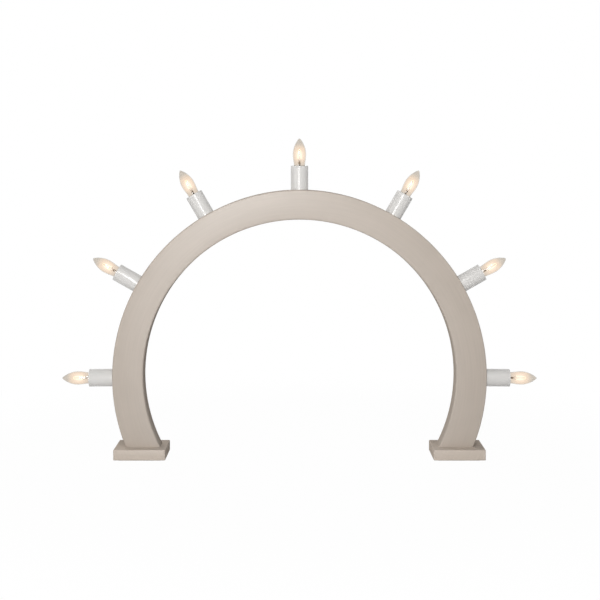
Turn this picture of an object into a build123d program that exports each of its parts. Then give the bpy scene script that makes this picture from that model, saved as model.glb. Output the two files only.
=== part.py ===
from build123d import *
import os
from math import asin, ceil, cos, degrees, pi, radians, sin, sqrt

# An electric candle arch: a wooden arch on two foot blocks, with seven small screw-in candle
# bulbs that stand out of it like rays. Each bulb screws into a lampholder inside a white
# candle sleeve, and the series wiring runs in a channel routed into the back of the arch.
# Millimetres, +Z up, front face towards -Y, origin on the ground under the arch's middle.

# Arch
ARCH_OUTER_RADIUS = 218.0
ARCH_WIDTH = 36.0
ARCH_CROWN_RAISE = 1.4  # the inner curve's centre is this much above the outer's
ARCH_THICKNESS = 25.0
ARCH_CENTRE_RISE = 81.4  # centre of the outer curve above the top of the foot blocks
ARCH_EDGE_ROUNDING = 1.6
LEG_END_ROUNDING = 0.8

# Foot blocks and the felt under them
FOOT_LENGTH = 60.0
FOOT_DEPTH = 54.0
FOOT_HEIGHT = 12.0
FOOT_OUTWARD_SHIFT = 2.5  # foot centre beyond the centre of the leg's end
FOOT_CORNER_ROUNDING = 2.0
FOOT_EDGE_ROUNDING = 1.2
FELT_THICKNESS = 1.0
FELT_INSET = 4.0
FELT_CORNER_RADIUS = 3.0

# Screws that hold each leg to its foot
FOOT_SCREW_SPACING = 16.0
FOOT_SCREW_SHIFT = 4.0  # middle of the pair beyond the centre of the leg's end
FOOT_SCREW_LENGTH = 30.0
FOOT_SCREW_SHANK_RADIUS = 1.9
FOOT_SCREW_HEAD_RADIUS = 3.8
FOOT_SCREW_HEAD_HEIGHT = 2.4

# Wire channel in the back of the arch, and the strip that covers it
CHANNEL_WIDTH = 8.0
CHANNEL_RUN_PAST = 3.5  # degrees past the left-hand light
COVER_WIDTH = 20.0
COVER_THICKNESS = 1.5
COVER_RUN_PAST = 6.5  # degrees past the left-hand light
COVER_GAP = 0.25  # all round the strip, in its rebate
COVER_SCREW_LENGTH = 9.0
COVER_SCREW_SHANK_RADIUS = 1.1
COVER_SCREW_HEAD_RADIUS = 2.2
COVER_SCREW_HEAD_HEIGHT = 1.2
COVER_SCREW_OFFSET = 7.0  # screws stand this far to either side of the channel's middle
COVER_SCREW_END_DISTANCE = 17.0  # last screws from the ends of the strip's middle line
SCREW_HOLE_CLEARANCE = 0.1
RECESS_WIDTH_SHARE = 0.3  # cross recess, as shares of the head's radius
RECESS_LENGTH_SHARE = 1.1
RECESS_DEPTH_SHARE = 0.55  # as a share of the head's height
SCREW_POINT_SHARE = 1.6  # length of the point, as a share of the shank's diameter

# Cable bushing low on the right-hand leg, snapped into the end of the cover strip
BUSHING_ANGLE = -15.0
BUSHING_FLANGE_RADIUS = 7.0
BUSHING_FLANGE_THICKNESS = 1.6
BUSHING_NECK_RADIUS = 5.0
BUSHING_BARB_RADIUS = 5.6
BUSHING_BARB_HEIGHT = 1.6
BUSHING_BARB_GAP = 0.15  # between the strip and the barb behind it
BUSHING_BODY_RADIUS = 4.4
BUSHING_REACH = 7.5  # inner end below the back face
BUSHING_BORE_RADIUS = 2.9
BUSHING_RIM_ROUNDING = 0.6
BUSHING_CLEARANCE = 0.15
BUSHING_POCKET_CLEARANCE = 0.5

# Lights
LIGHT_COUNT = 7
LIGHT_STEP = 30.2  # degrees between lights, the middle one straight up
SEAT_DEPTH = 2.0  # spot-faced seat that the sleeve and lampholder stand in
SEAT_CLEARANCE = 0.15

# Candle sleeve
SLEEVE_RADIUS = 10.2
SLEEVE_WALL = 1.2
SLEEVE_STAND = 28.0  # length that shows above the arch
SLEEVE_LIP = 0.7  # the wall turns in by this much at the mouth
SLEEVE_LIP_HEIGHT = 1.0
SLEEVE_MOUTH_ROUNDING = 0.4

# Lampholder
HOLDER_RADIUS = 7.0
HOLDER_RIM_HEIGHT = 24.2  # rim above the arch's surface
HOLDER_FLANGE_CLEARANCE = 0.15
HOLDER_FLANGE_HEIGHT = 2.0
HOLDER_FLOOR_THICKNESS = 3.0
HOLDER_CONTACT_ROOM = 3.3  # height of the contact space below the screw shell
HOLDER_CONTACT_BORE_RADIUS = 3.9
HOLDER_CHAMBER_RADIUS = 5.6
HOLDER_CHAMBER_FLOOR = 1.0
HOLDER_WINDOW_WIDTH = 7.0
HOLDER_RIB_COUNT = 4
HOLDER_RIB_WIDTH = 1.4
HOLDER_RIB_HEIGHT = 17.0
STEM_RADIUS = 3.8
STEM_BORE_RADIUS = 2.6
STEM_LENGTH = 11.0  # below the seat
STEM_HOLE_CLEARANCE = 0.2
STEM_BARB_COUNT = 3
STEM_BARB_HEIGHT = 1.2
STEM_BARB_PITCH = 2.6
STEM_BARB_CLEARANCE = 0.03

# Edison screw: 14 threads to the inch, 10 mm across
THREAD_PITCH = 25.4 / 14
THREAD_MEAN_RADIUS = 4.47
THREAD_THROW = 0.255  # half the depth of the rounded thread
THREAD_CLEARANCE = 0.12
SHELL_WALL = 0.3
SHELL_HEIGHT = 7.6
SHELL_FLANGE_BORE_RADIUS = 4.0
SHELL_FLANGE_RIM = 0.05  # the flange stands out past the thread by this much
SHELL_POCKET_CLEARANCE = 0.1
SHELL_TOP_BELOW_THREAD = 0.24
SECTIONS_PER_TURN = 8

# Terminal strips inside the lampholder
STRIP_THICKNESS = 0.3
STRIP_WIDTH = 2.0
STRIP_BEND_RADIUS = 0.45
STRIP_SLOT_CLEARANCE = 0.25
STRIP_GAP = 0.05
CONTACT_FOLD_REACH = 2.6  # the spring tongue's fold stands this far from the axis
CONTACT_FOLD_HEIGHT = 1.0
CONTACT_TONGUE_END = 0.6  # the tongue ends this far past the axis
CONTACT_TAB_FOOT = 5.0
SHELL_TAB_SHOULDER = 8.0
SHELL_TAB_KNEE = 6.4
SHELL_TAB_FOOT = 3.5

# Bulb
BULB_TIP_STAND = 60.0  # tip of the glass above the arch's surface
BULB_LENGTH = 45.0
SOLDER_HEIGHT = 0.8
SOLDER_RADIUS = 1.5
SOLDER_ROUNDING = 0.5
SOLDER_GAP = 0.05
INSULATOR_CONE_HEIGHT = 1.2
INSULATOR_CONE_RADIUS = 3.5
INSULATOR_PLUG_RADIUS = 2.1
INSULATOR_DISC_THICKNESS = 0.9
INSULATOR_CLEARANCE = 0.08
CAP_THREAD_LENGTH = 7.0
CAP_SKIRT_LENGTH = 2.0
CAP_SKIRT_RIM = 0.08  # the skirt stands out past the thread by this much
CAP_BORE_RADIUS = 3.95
CAP_FLOOR_THICKNESS = 0.3
GLASS_RADIUS = 7.8
GLASS_WAIST_HEIGHT = 27.0  # widest place above the contact
GLASS_SHOULDER_RADIUS = 6.6
GLASS_SHOULDER_HEIGHT = 13.8
GLASS_RIM_RADIUS = 4.4
GLASS_NECK_RADIUS = 3.8
GLASS_NECK_DEPTH = 2.7  # length of neck inside the cap
GLASS_WALL = 0.6
GLASS_SEAT_GAP = 0.1
NOSE_CONTROL_SHARES = (0.26, 0.46)  # handles of the nose, as shares of its radius and height
FLANK_CONTROL_SHARES = (0.42, 0.3)  # handles of the flank's curve, as shares of its height
SHOULDER_CONTROL_SHARES = (0.62, 0.2)  # handles of the shoulder, as shares of height and width

# Filament and its mount, heights above the contact
MOUNT_FOOT_GAP = 0.3  # flare's foot above the neck's foot
MOUNT_FLARE_RADIUS = 3.0
MOUNT_WAIST_RADIUS = 1.6
MOUNT_TOP_RADIUS = 1.1
MOUNT_WAIST_HEIGHT = 11.8
MOUNT_TOP_HEIGHT = 15.0
BEAD_RADIUS = 1.2
BEAD_HEIGHT = 3.0
BEAD_ROUNDING = 0.5
LEAD_RADIUS = 0.22
LEAD_OFFSET = 0.65
LEAD_HOLE_CLEARANCE = 0.02
LEAD_BEND_HEIGHT = 0.8  # bend above the bead
LEAD_BEND_RADIUS = 0.8
HOOK_RADIUS = 0.15
FILAMENT_RADIUS = 0.28
FILAMENT_FOOT_HEIGHT = 21.0
FILAMENT_TOP_HEIGHT = 31.8
FILAMENT_FOOT_OFFSET = 2.2
FILAMENT_CROWN_OFFSET = 1.3
FILAMENT_BEND_RADIUS = 0.7
FILAMENT_GAP = 0.2

# Internal wiring
WIRE_RADIUS = 0.8
WIRE_OFFSET = 1.1  # each wire stands this far from the lampholder's axis
WIRE_TOP = 7.0  # end of the wire above the arch's surface
WIRE_BEND_RADIUS = 2.6
LINK_RUN_OFFSET = 2.1  # link wires run this far outside the channel's middle
RETURN_RUN_OFFSET = -2.2  # and the return wire this far inside it
SPLICE_ANGLE = 5.0  # degrees between the bushing's centre and the ends of the wires
SPLICE_RADIUS = 1.3
SPLICE_LENGTH = 7.0
SPLICE_BORE_SHARE = 0.45  # each end's bore, as a share of the splice's length
SPLICE_CLEARANCE = 0.05
CHANNEL_FLOOR_GAP = 0.2  # between a splice and the channel's floor

CUT_OVERRUN = 1.0

# Places that follow from the sizes above
ARCH_INNER_RADIUS = ARCH_OUTER_RADIUS - ARCH_WIDTH
CHANNEL_RADIUS = ARCH_OUTER_RADIUS - ARCH_WIDTH / 2  # middle line of the channel
FOOT_TOP = FELT_THICKNESS + FOOT_HEIGHT
ARCH_CENTRE_HEIGHT = FOOT_TOP + ARCH_CENTRE_RISE
BACK_FACE = ARCH_THICKNESS / 2
CHANNEL_DEPTH = BACK_FACE + SPLICE_RADIUS + CHANNEL_FLOOR_GAP
INNER_CENTRE_RISE = ARCH_CENTRE_RISE + ARCH_CROWN_RAISE
LEG_END_OUTSIDE = sqrt(ARCH_OUTER_RADIUS**2 - ARCH_CENTRE_RISE**2)
LEG_END_INSIDE = sqrt(ARCH_INNER_RADIUS**2 - INNER_CENTRE_RISE**2)
LEG_END_CENTRE = (LEG_END_OUTSIDE + LEG_END_INSIDE) / 2
FOOT_CENTRE = LEG_END_CENTRE + FOOT_OUTWARD_SHIFT
LIGHT_ANGLES = [90 + LIGHT_STEP * ((LIGHT_COUNT - 1) / 2 - n) for n in range(LIGHT_COUNT)]
COVER_START_ANGLE = BUSHING_ANGLE
COVER_END_ANGLE = LIGHT_ANGLES[0] + COVER_RUN_PAST
SLEEVE_BORE_RADIUS = SLEEVE_RADIUS - SLEEVE_WALL
STEM_HOLE_RADIUS = STEM_RADIUS + STEM_HOLE_CLEARANCE
BULB_BASE = BULB_TIP_STAND - BULB_LENGTH
CAP_BOTTOM = BULB_BASE + SOLDER_HEIGHT + SOLDER_GAP + INSULATOR_CONE_HEIGHT
CAP_THREAD_TOP = CAP_BOTTOM + CAP_THREAD_LENGTH
CAP_TOP = CAP_THREAD_TOP + CAP_SKIRT_LENGTH
NECK_FOOT = CAP_TOP - GLASS_NECK_DEPTH
BEAD_TOP = BULB_BASE + MOUNT_TOP_HEIGHT + BEAD_HEIGHT
SHELL_TOP = CAP_THREAD_TOP - SHELL_TOP_BELOW_THREAD
SHELL_BOTTOM = SHELL_TOP - SHELL_HEIGHT
SHELL_RADIUS = THREAD_MEAN_RADIUS + THREAD_CLEARANCE
SHELL_REACH = SHELL_RADIUS + SHELL_WALL + THREAD_THROW + SHELL_FLANGE_RIM
HOLDER_LEDGE = SHELL_BOTTOM - SHELL_WALL - STRIP_GAP
CONTACT_FLOOR = HOLDER_LEDGE - HOLDER_CONTACT_ROOM
CHAMBER_TOP = CONTACT_FLOOR - HOLDER_FLOOR_THICKNESS
TAB_OFFSET = WIRE_OFFSET + WIRE_RADIUS + STRIP_GAP + STRIP_THICKNESS / 2
SHELL_TAB_OFFSET = SHELL_REACH - STRIP_THICKNESS / 2

IN_ARCH = Plane(origin=(0, 0, ARCH_CENTRE_HEIGHT), x_dir=(1, 0, 0), z_dir=(0, -1, 0))
ON_BACK = IN_ARCH.offset(-BACK_FACE)
UP = (Align.CENTER, Align.CENTER, Align.MIN)


def light_frame(angle):
    """The place of one light: on the arch's surface, Z straight out, X towards the next."""
    out = Vector(cos(radians(angle)), 0, sin(radians(angle)))
    along = Vector(sin(radians(angle)), 0, -cos(radians(angle)))
    centre = Vector(0, 0, ARCH_CENTRE_HEIGHT)
    return Plane(origin=centre + out * ARCH_OUTER_RADIUS, x_dir=along, z_dir=out)


def rod(radius, bottom, top):
    """An upright cylinder between two heights."""
    return Pos(0, 0, bottom) * Cylinder(radius, top - bottom, align=UP)


def bar(left, right, width, bottom, top):
    """An upright block between two X places and two heights, centred on Y."""
    middle = Pos((left + right) / 2, 0, bottom)
    return middle * Box(right - left, width, top - bottom, align=UP)


def turned(outline):
    """A solid of revolution about Z from a closed outline in the XZ plane."""
    return revolve(Plane.XZ * make_face(outline), Axis.Z)


def arc_slot(radius, width, start, end):
    """A curved slot with round ends, about the arch's centre."""
    return SlotArc(CenterArc((0, 0), radius, start, end - start), width)


def at_angle(radius, angle):
    """A point in the arch's plane."""
    return Vector(radius * cos(radians(angle)), radius * sin(radians(angle)))


def on_back(radius, angle):
    """A place on the arch's back face, Z pointing into the wood."""
    return ON_BACK * Pos(at_angle(radius, angle))


def edison_rod(radius, bottom, top):
    """A rod with a rounded screw thread: its round section circles the axis once a pitch."""
    steps = ceil((top - bottom) / THREAD_PITCH * SECTIONS_PER_TURN)
    heights = [bottom + (top - bottom) * step / steps for step in range(steps + 1)]
    sections = []
    for height in heights:
        turn = 2 * pi * height / THREAD_PITCH
        centre = Pos(THREAD_THROW * cos(turn), THREAD_THROW * sin(turn), height)
        sections.append(centre * Circle(radius))
    return loft(sections)


def wood_screw(head_radius, head_height, shank_radius, length):
    """A countersunk wood screw, its head's face at the origin and its point down -Z."""
    point = shank_radius * 2 * SCREW_POINT_SHARE
    body = turned(
        Polyline(
            (0, 0),
            (head_radius, 0),
            (shank_radius, -head_height),
            (shank_radius, -length + point),
            (0, -length),
            close=True,
        )
    )
    recess_length = head_radius * RECESS_LENGTH_SHARE
    recess_width = head_radius * RECESS_WIDTH_SHARE
    recess_depth = head_height * RECESS_DEPTH_SHARE
    for wide, deep in ((recess_length, recess_width), (recess_width, recess_length)):
        body -= Pos(0, 0, -recess_depth) * Box(wide, deep, recess_depth * 2, align=UP)
    return body


def screw_hole(head_radius, head_height, shank_radius, length):
    """The countersunk hole for that screw, with clearance all round."""
    reach = length + SCREW_HOLE_CLEARANCE
    return turned(
        Polyline(
            (0, CUT_OVERRUN),
            (head_radius + SCREW_HOLE_CLEARANCE, CUT_OVERRUN),
            (head_radius + SCREW_HOLE_CLEARANCE, 0),
            (shank_radius + SCREW_HOLE_CLEARANCE, -head_height),
            (shank_radius + SCREW_HOLE_CLEARANCE, -reach),
            (0, -reach),
            close=True,
        )
    )


FOOT_SCREW = (
    FOOT_SCREW_HEAD_RADIUS,
    FOOT_SCREW_HEAD_HEIGHT,
    FOOT_SCREW_SHANK_RADIUS,
    FOOT_SCREW_LENGTH,
)
COVER_SCREW = (
    COVER_SCREW_HEAD_RADIUS,
    COVER_SCREW_HEAD_HEIGHT,
    COVER_SCREW_SHANK_RADIUS,
    COVER_SCREW_LENGTH,
)


def foot_screw_places(side):
    """The screws of one foot, heads in its underside."""
    middle = LEG_END_CENTRE + FOOT_SCREW_SHIFT
    return [
        Plane(origin=(side * (middle + step), 0, FELT_THICKNESS), z_dir=(0, 0, -1))
        for step in (-FOOT_SCREW_SPACING / 2, FOOT_SCREW_SPACING / 2)
    ]


def cover_screw_places():
    """Between the lights, on the two ledges in turn, and one near each end of the strip."""
    inset = degrees(COVER_SCREW_END_DISTANCE / CHANNEL_RADIUS)
    between = [(a + b) / 2 for a, b in zip(LIGHT_ANGLES, LIGHT_ANGLES[1:])]
    angles = [COVER_END_ANGLE, *between, COVER_START_ANGLE + inset]
    places = []
    for n, angle in enumerate(angles):
        ledge = CHANNEL_RADIUS + COVER_SCREW_OFFSET * (-1) ** n
        places.append(on_back(ledge, angle) * Rotation(180, 0, 0))
    return places


def make_arch():
    inner = Pos(0, ARCH_CROWN_RAISE) * Circle(ARCH_INNER_RADIUS)
    above = Pos(0, -ARCH_CENTRE_RISE) * Rectangle(
        ARCH_OUTER_RADIUS * 2,
        ARCH_OUTER_RADIUS + ARCH_CENTRE_RISE,
        align=(Align.CENTER, Align.MIN),
    )
    face = (Circle(ARCH_OUTER_RADIUS) - inner) & above
    arch = extrude(IN_ARCH * face, ARCH_THICKNESS / 2, both=True)
    arch = fillet(arch.edges().filter_by(GeomType.CIRCLE), ARCH_EDGE_ROUNDING)
    arch = fillet(arch.edges().group_by(Axis.Z)[0], LEG_END_ROUNDING)

    channel_end = LIGHT_ANGLES[0] + CHANNEL_RUN_PAST
    channel = arc_slot(CHANNEL_RADIUS, CHANNEL_WIDTH, BUSHING_ANGLE, channel_end)
    rebate_width = COVER_WIDTH + COVER_GAP * 2
    rebate = arc_slot(CHANNEL_RADIUS, rebate_width, COVER_START_ANGLE, COVER_END_ANGLE)
    outside = ON_BACK.offset(-CUT_OVERRUN)
    arch -= extrude(outside * channel, CHANNEL_DEPTH + CUT_OVERRUN)
    arch -= extrude(outside * rebate, COVER_THICKNESS + CUT_OVERRUN)
    pocket_radius = BUSHING_BARB_RADIUS + BUSHING_POCKET_CLEARANCE
    arch -= on_back(CHANNEL_RADIUS, BUSHING_ANGLE) * rod(pocket_radius, 0, CHANNEL_DEPTH)

    seat = rod(SLEEVE_RADIUS + SEAT_CLEARANCE, -SEAT_DEPTH, SEAT_DEPTH)
    hole = rod(STEM_HOLE_RADIUS, CHANNEL_RADIUS - ARCH_OUTER_RADIUS, 0)
    for angle in LIGHT_ANGLES:
        arch -= light_frame(angle) * (seat + hole)
    for side in (-1, 1):
        for place in foot_screw_places(side):
            arch -= place * screw_hole(*FOOT_SCREW)
    for place in cover_screw_places():
        arch -= place * screw_hole(*COVER_SCREW)
    return arch


def make_foot(side):
    place = Pos(side * FOOT_CENTRE, 0, FELT_THICKNESS)
    foot = place * Box(FOOT_LENGTH, FOOT_DEPTH, FOOT_HEIGHT, align=UP)
    foot = fillet(foot.edges().filter_by(Axis.Z), FOOT_CORNER_ROUNDING)
    ends = foot.faces().sort_by(Axis.Z)
    foot = fillet(ends[0].edges() + ends[-1].edges(), FOOT_EDGE_ROUNDING)
    for screw in foot_screw_places(side):
        foot -= screw * screw_hole(*FOOT_SCREW)
    return foot


def make_felt_pad(side):
    outline = RectangleRounded(
        FOOT_LENGTH - FELT_INSET * 2, FOOT_DEPTH - FELT_INSET * 2, FELT_CORNER_RADIUS
    )
    return Pos(side * FOOT_CENTRE, 0, 0) * extrude(outline, FELT_THICKNESS)


def make_back_cover():
    strip = arc_slot(CHANNEL_RADIUS, COVER_WIDTH, COVER_START_ANGLE, COVER_END_ANGLE)
    cover = extrude(ON_BACK * strip, COVER_THICKNESS)
    hole_radius = BUSHING_NECK_RADIUS + BUSHING_CLEARANCE
    bushing = on_back(CHANNEL_RADIUS, BUSHING_ANGLE)
    cover -= bushing * rod(hole_radius, -CUT_OVERRUN, COVER_THICKNESS + CUT_OVERRUN)
    for place in cover_screw_places():
        cover -= place * screw_hole(*COVER_SCREW)
    return cover


def make_cable_bushing():
    """A flanged bush: flange outside the strip, barb behind it, bored right through."""
    barb_top = COVER_THICKNESS + BUSHING_BARB_GAP
    barb_foot = barb_top + BUSHING_BARB_HEIGHT
    body = turned(
        Polyline(
            (BUSHING_BORE_RADIUS, -BUSHING_FLANGE_THICKNESS),
            (BUSHING_FLANGE_RADIUS, -BUSHING_FLANGE_THICKNESS),
            (BUSHING_FLANGE_RADIUS, 0),
            (BUSHING_NECK_RADIUS, 0),
            (BUSHING_NECK_RADIUS, barb_top),
            (BUSHING_BARB_RADIUS, barb_top),
            (BUSHING_BODY_RADIUS, barb_foot),
            (BUSHING_BODY_RADIUS, BUSHING_REACH),
            (BUSHING_BORE_RADIUS, BUSHING_REACH),
            close=True,
        )
    )
    body = fillet(body.edges().group_by(Axis.Z)[0], BUSHING_RIM_ROUNDING)
    return on_back(CHANNEL_RADIUS, BUSHING_ANGLE) * body


def make_candle_sleeve():
    """A plastic tube that stands in its seat and turns in at the mouth."""
    mouth_radius = SLEEVE_BORE_RADIUS - SLEEVE_LIP
    sleeve = rod(SLEEVE_RADIUS, -SEAT_DEPTH, SLEEVE_STAND)
    sleeve -= rod(SLEEVE_BORE_RADIUS, -SEAT_DEPTH, SLEEVE_STAND - SLEEVE_LIP_HEIGHT)
    sleeve -= rod(mouth_radius, 0, SLEEVE_STAND)
    return fillet(sleeve.edges().group_by(Axis.Z)[-1], SLEEVE_MOUTH_ROUNDING)


def make_lampholder():
    """A moulded holder: barbed stem, flange, terminal chamber, contact room, screw pocket."""
    stem_foot = -SEAT_DEPTH - STEM_LENGTH
    flange_radius = SLEEVE_BORE_RADIUS - HOLDER_FLANGE_CLEARANCE
    holder = rod(HOLDER_RADIUS, -SEAT_DEPTH, HOLDER_RIM_HEIGHT)
    holder += rod(flange_radius, -SEAT_DEPTH, HOLDER_FLANGE_HEIGHT - SEAT_DEPTH)
    holder += rod(STEM_RADIUS, stem_foot, -SEAT_DEPTH)
    rib = bar(0, flange_radius, HOLDER_RIB_WIDTH, -SEAT_DEPTH, HOLDER_RIB_HEIGHT)
    for n in range(HOLDER_RIB_COUNT):
        holder += Rotation(0, 0, 360 * (n + 1 / 2) / HOLDER_RIB_COUNT) * rib
    barb_radius = STEM_HOLE_RADIUS - STEM_BARB_CLEARANCE
    for n in range(STEM_BARB_COUNT):
        foot = stem_foot + STEM_BARB_HEIGHT / 2 + STEM_BARB_PITCH * n
        holder += Pos(0, 0, foot) * Cone(STEM_RADIUS, barb_radius, STEM_BARB_HEIGHT, align=UP)

    pocket_radius = SHELL_REACH + SHELL_POCKET_CLEARANCE
    holder -= rod(pocket_radius, HOLDER_LEDGE, HOLDER_RIM_HEIGHT)
    holder -= rod(HOLDER_CONTACT_BORE_RADIUS, CONTACT_FLOOR, HOLDER_LEDGE)
    holder -= rod(HOLDER_CHAMBER_RADIUS, HOLDER_CHAMBER_FLOOR, CHAMBER_TOP)
    holder -= rod(STEM_BORE_RADIUS, stem_foot, HOLDER_CHAMBER_FLOOR)
    half_window = HOLDER_WINDOW_WIDTH / 2
    through = HOLDER_RADIUS * 2 + CUT_OVERRUN
    holder -= bar(-half_window, half_window, through, HOLDER_CHAMBER_FLOOR, CHAMBER_TOP)
    half_slot = STRIP_THICKNESS / 2 + STRIP_SLOT_CLEARANCE
    slot_width = STRIP_WIDTH + STRIP_SLOT_CLEARANCE * 2
    for place, top in ((TAB_OFFSET, CONTACT_FLOOR), (-SHELL_TAB_OFFSET, HOLDER_LEDGE)):
        holder -= bar(place - half_slot, place + half_slot, slot_width, CHAMBER_TOP, top)
    return holder


def bent_strip(*points):
    """A strip of sheet brass that follows a line of points in the XZ plane."""
    line = FilletPolyline(*points, radius=STRIP_BEND_RADIUS)
    return extrude(Plane.XZ * trace(line, STRIP_THICKNESS), STRIP_WIDTH / 2, both=True)


def make_screw_shell():
    """The threaded brass shell, with its flange and the tab down to its wire."""
    shell = edison_rod(SHELL_RADIUS + SHELL_WALL, SHELL_BOTTOM - SHELL_WALL, SHELL_TOP)
    shell += rod(SHELL_REACH, SHELL_BOTTOM - SHELL_WALL, SHELL_BOTTOM)
    shell -= edison_rod(SHELL_RADIUS, SHELL_BOTTOM, SHELL_TOP + CUT_OVERRUN)
    shell -= rod(SHELL_FLANGE_BORE_RADIUS, SHELL_BOTTOM - SHELL_WALL, SHELL_BOTTOM)
    shell += bent_strip(
        (-SHELL_TAB_OFFSET, SHELL_BOTTOM),
        (-SHELL_TAB_OFFSET, SHELL_TAB_SHOULDER),
        (-TAB_OFFSET, SHELL_TAB_KNEE),
        (-TAB_OFFSET, SHELL_TAB_FOOT),
    )
    return shell


def make_centre_contact():
    """A spring tongue folded under the bulb's contact, on a leg down to its wire."""
    base = CONTACT_FLOOR + STRIP_GAP + STRIP_THICKNESS / 2
    tongue = BULB_BASE - STRIP_GAP - STRIP_THICKNESS / 2
    return bent_strip(
        (TAB_OFFSET, CONTACT_TAB_FOOT),
        (TAB_OFFSET, base),
        (-CONTACT_FOLD_REACH, base),
        (-CONTACT_FOLD_REACH, base + CONTACT_FOLD_HEIGHT),
        (CONTACT_TONGUE_END, tongue),
    )


def make_bulb_tip():
    """The solder button at the bottom of the bulb's cap."""
    tip = rod(SOLDER_RADIUS, BULB_BASE, BULB_BASE + SOLDER_HEIGHT)
    return fillet(tip.edges().group_by(Axis.Z)[0], SOLDER_ROUNDING)


def make_bulb_cap():
    """The threaded brass cap and, riveted through its floor, the glass insulator."""
    floor_top = CAP_BOTTOM + CAP_FLOOR_THICKNESS
    cap = edison_rod(THREAD_MEAN_RADIUS, CAP_BOTTOM, CAP_THREAD_TOP)
    skirt_radius = THREAD_MEAN_RADIUS + THREAD_THROW + CAP_SKIRT_RIM
    cap += rod(skirt_radius, CAP_THREAD_TOP, CAP_TOP)
    cap -= rod(CAP_BORE_RADIUS, floor_top, CAP_TOP)
    cap -= rod(INSULATOR_PLUG_RADIUS + INSULATOR_CLEARANCE, CAP_BOTTOM, floor_top)
    cone_foot = BULB_BASE + SOLDER_HEIGHT + SOLDER_GAP
    disc_foot = floor_top + INSULATOR_CLEARANCE
    disc_top = disc_foot + INSULATOR_DISC_THICKNESS
    disc_radius = CAP_BORE_RADIUS - INSULATOR_CLEARANCE
    insulator = turned(
        Polyline(
            (0, cone_foot),
            (SOLDER_RADIUS, cone_foot),
            (INSULATOR_CONE_RADIUS, CAP_BOTTOM),
            (INSULATOR_PLUG_RADIUS, CAP_BOTTOM),
            (INSULATOR_PLUG_RADIUS, disc_foot),
            (disc_radius, disc_foot),
            (disc_radius, disc_top),
            (0, disc_top),
            close=True,
        )
    )
    return cap, insulator


def glass_body(inset, foot):
    """The candle bulb's shape as one solid, drawn in by an inset, down to its neck's foot."""
    tip = BULB_TIP_STAND - inset
    waist = BULB_BASE + GLASS_WAIST_HEIGHT
    shoulder = BULB_BASE + GLASS_SHOULDER_HEIGHT
    rim = CAP_TOP + GLASS_SEAT_GAP + inset
    wide = GLASS_RADIUS - inset
    shoulder_radius = GLASS_SHOULDER_RADIUS - inset
    rim_radius = GLASS_RIM_RADIUS - inset
    neck_radius = GLASS_NECK_RADIUS - inset
    nose_radius_share, nose_height_share = NOSE_CONTROL_SHARES
    flank_top_share, flank_foot_share = FLANK_CONTROL_SHARES
    shoulder_top_share, shoulder_foot_share = SHOULDER_CONTROL_SHARES
    flank = waist - shoulder
    fall = shoulder - rim
    outline = [
        Bezier(
            (0, tip),
            (wide * nose_radius_share, tip),
            (wide, waist + (tip - waist) * nose_height_share),
            (wide, waist),
        ),
        Bezier(
            (wide, waist),
            (wide, waist - flank * flank_top_share),
            (shoulder_radius, shoulder + flank * flank_foot_share),
            (shoulder_radius, shoulder),
        ),
        Bezier(
            (shoulder_radius, shoulder),
            (shoulder_radius, shoulder - fall * shoulder_top_share),
            (rim_radius + (shoulder_radius - rim_radius) * shoulder_foot_share, rim),
            (rim_radius, rim),
        ),
        Polyline((rim_radius, rim), (neck_radius, rim), (neck_radius, foot), (0, foot), (0, tip)),
    ]
    return turned([edge for line in outline for edge in line.edges()])


def make_bulb_glass():
    return glass_body(0, NECK_FOOT) - glass_body(GLASS_WALL, NECK_FOOT - CUT_OVERRUN)


def thin_wire(radius, bend_radius, *points):
    """A round wire that follows a line of points in the XZ plane."""
    path = Plane.XZ * FilletPolyline(*points, radius=bend_radius)
    return sweep(Plane(origin=path @ 0, z_dir=path % 0) * Circle(radius), path=path)


def make_bulb_filament():
    """The glass mount and bead, two leads, a hook and the looped filament."""
    foot = NECK_FOOT + MOUNT_FOOT_GAP
    mount_top = BULB_BASE + MOUNT_TOP_HEIGHT
    mount = turned(
        Polyline(
            (0, foot),
            (MOUNT_FLARE_RADIUS, foot),
            (MOUNT_WAIST_RADIUS, BULB_BASE + MOUNT_WAIST_HEIGHT),
            (MOUNT_TOP_RADIUS, mount_top),
            (0, mount_top),
            close=True,
        )
    )
    bead = rod(BEAD_RADIUS, mount_top, BEAD_TOP)
    bead = fillet(bead.edges().filter_by(GeomType.CIRCLE), BEAD_ROUNDING)
    filament_foot = BULB_BASE + FILAMENT_FOOT_HEIGHT
    filament_top = BULB_BASE + FILAMENT_TOP_HEIGHT
    leads = []
    for side in (-1, 1):
        hole = rod(LEAD_RADIUS + LEAD_HOLE_CLEARANCE, foot - CUT_OVERRUN, BEAD_TOP + CUT_OVERRUN)
        mount -= Pos(side * LEAD_OFFSET, 0, 0) * hole
        bead -= Pos(side * LEAD_OFFSET, 0, 0) * hole
        lead = thin_wire(
            LEAD_RADIUS,
            LEAD_BEND_RADIUS,
            (side * LEAD_OFFSET, foot),
            (side * LEAD_OFFSET, BEAD_TOP + LEAD_BEND_HEIGHT),
            (side * FILAMENT_FOOT_OFFSET, filament_foot - FILAMENT_GAP),
        )
        leads.append(lead)
    filament = thin_wire(
        FILAMENT_RADIUS,
        FILAMENT_BEND_RADIUS,
        (-FILAMENT_FOOT_OFFSET, filament_foot),
        (-FILAMENT_CROWN_OFFSET, filament_top),
        (FILAMENT_CROWN_OFFSET, filament_top),
        (FILAMENT_FOOT_OFFSET, filament_foot),
    )
    hook_top = filament_top - FILAMENT_RADIUS - FILAMENT_GAP
    hook = rod(HOOK_RADIUS, BEAD_TOP, hook_top)
    return mount, bead, *leads, filament, hook


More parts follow.
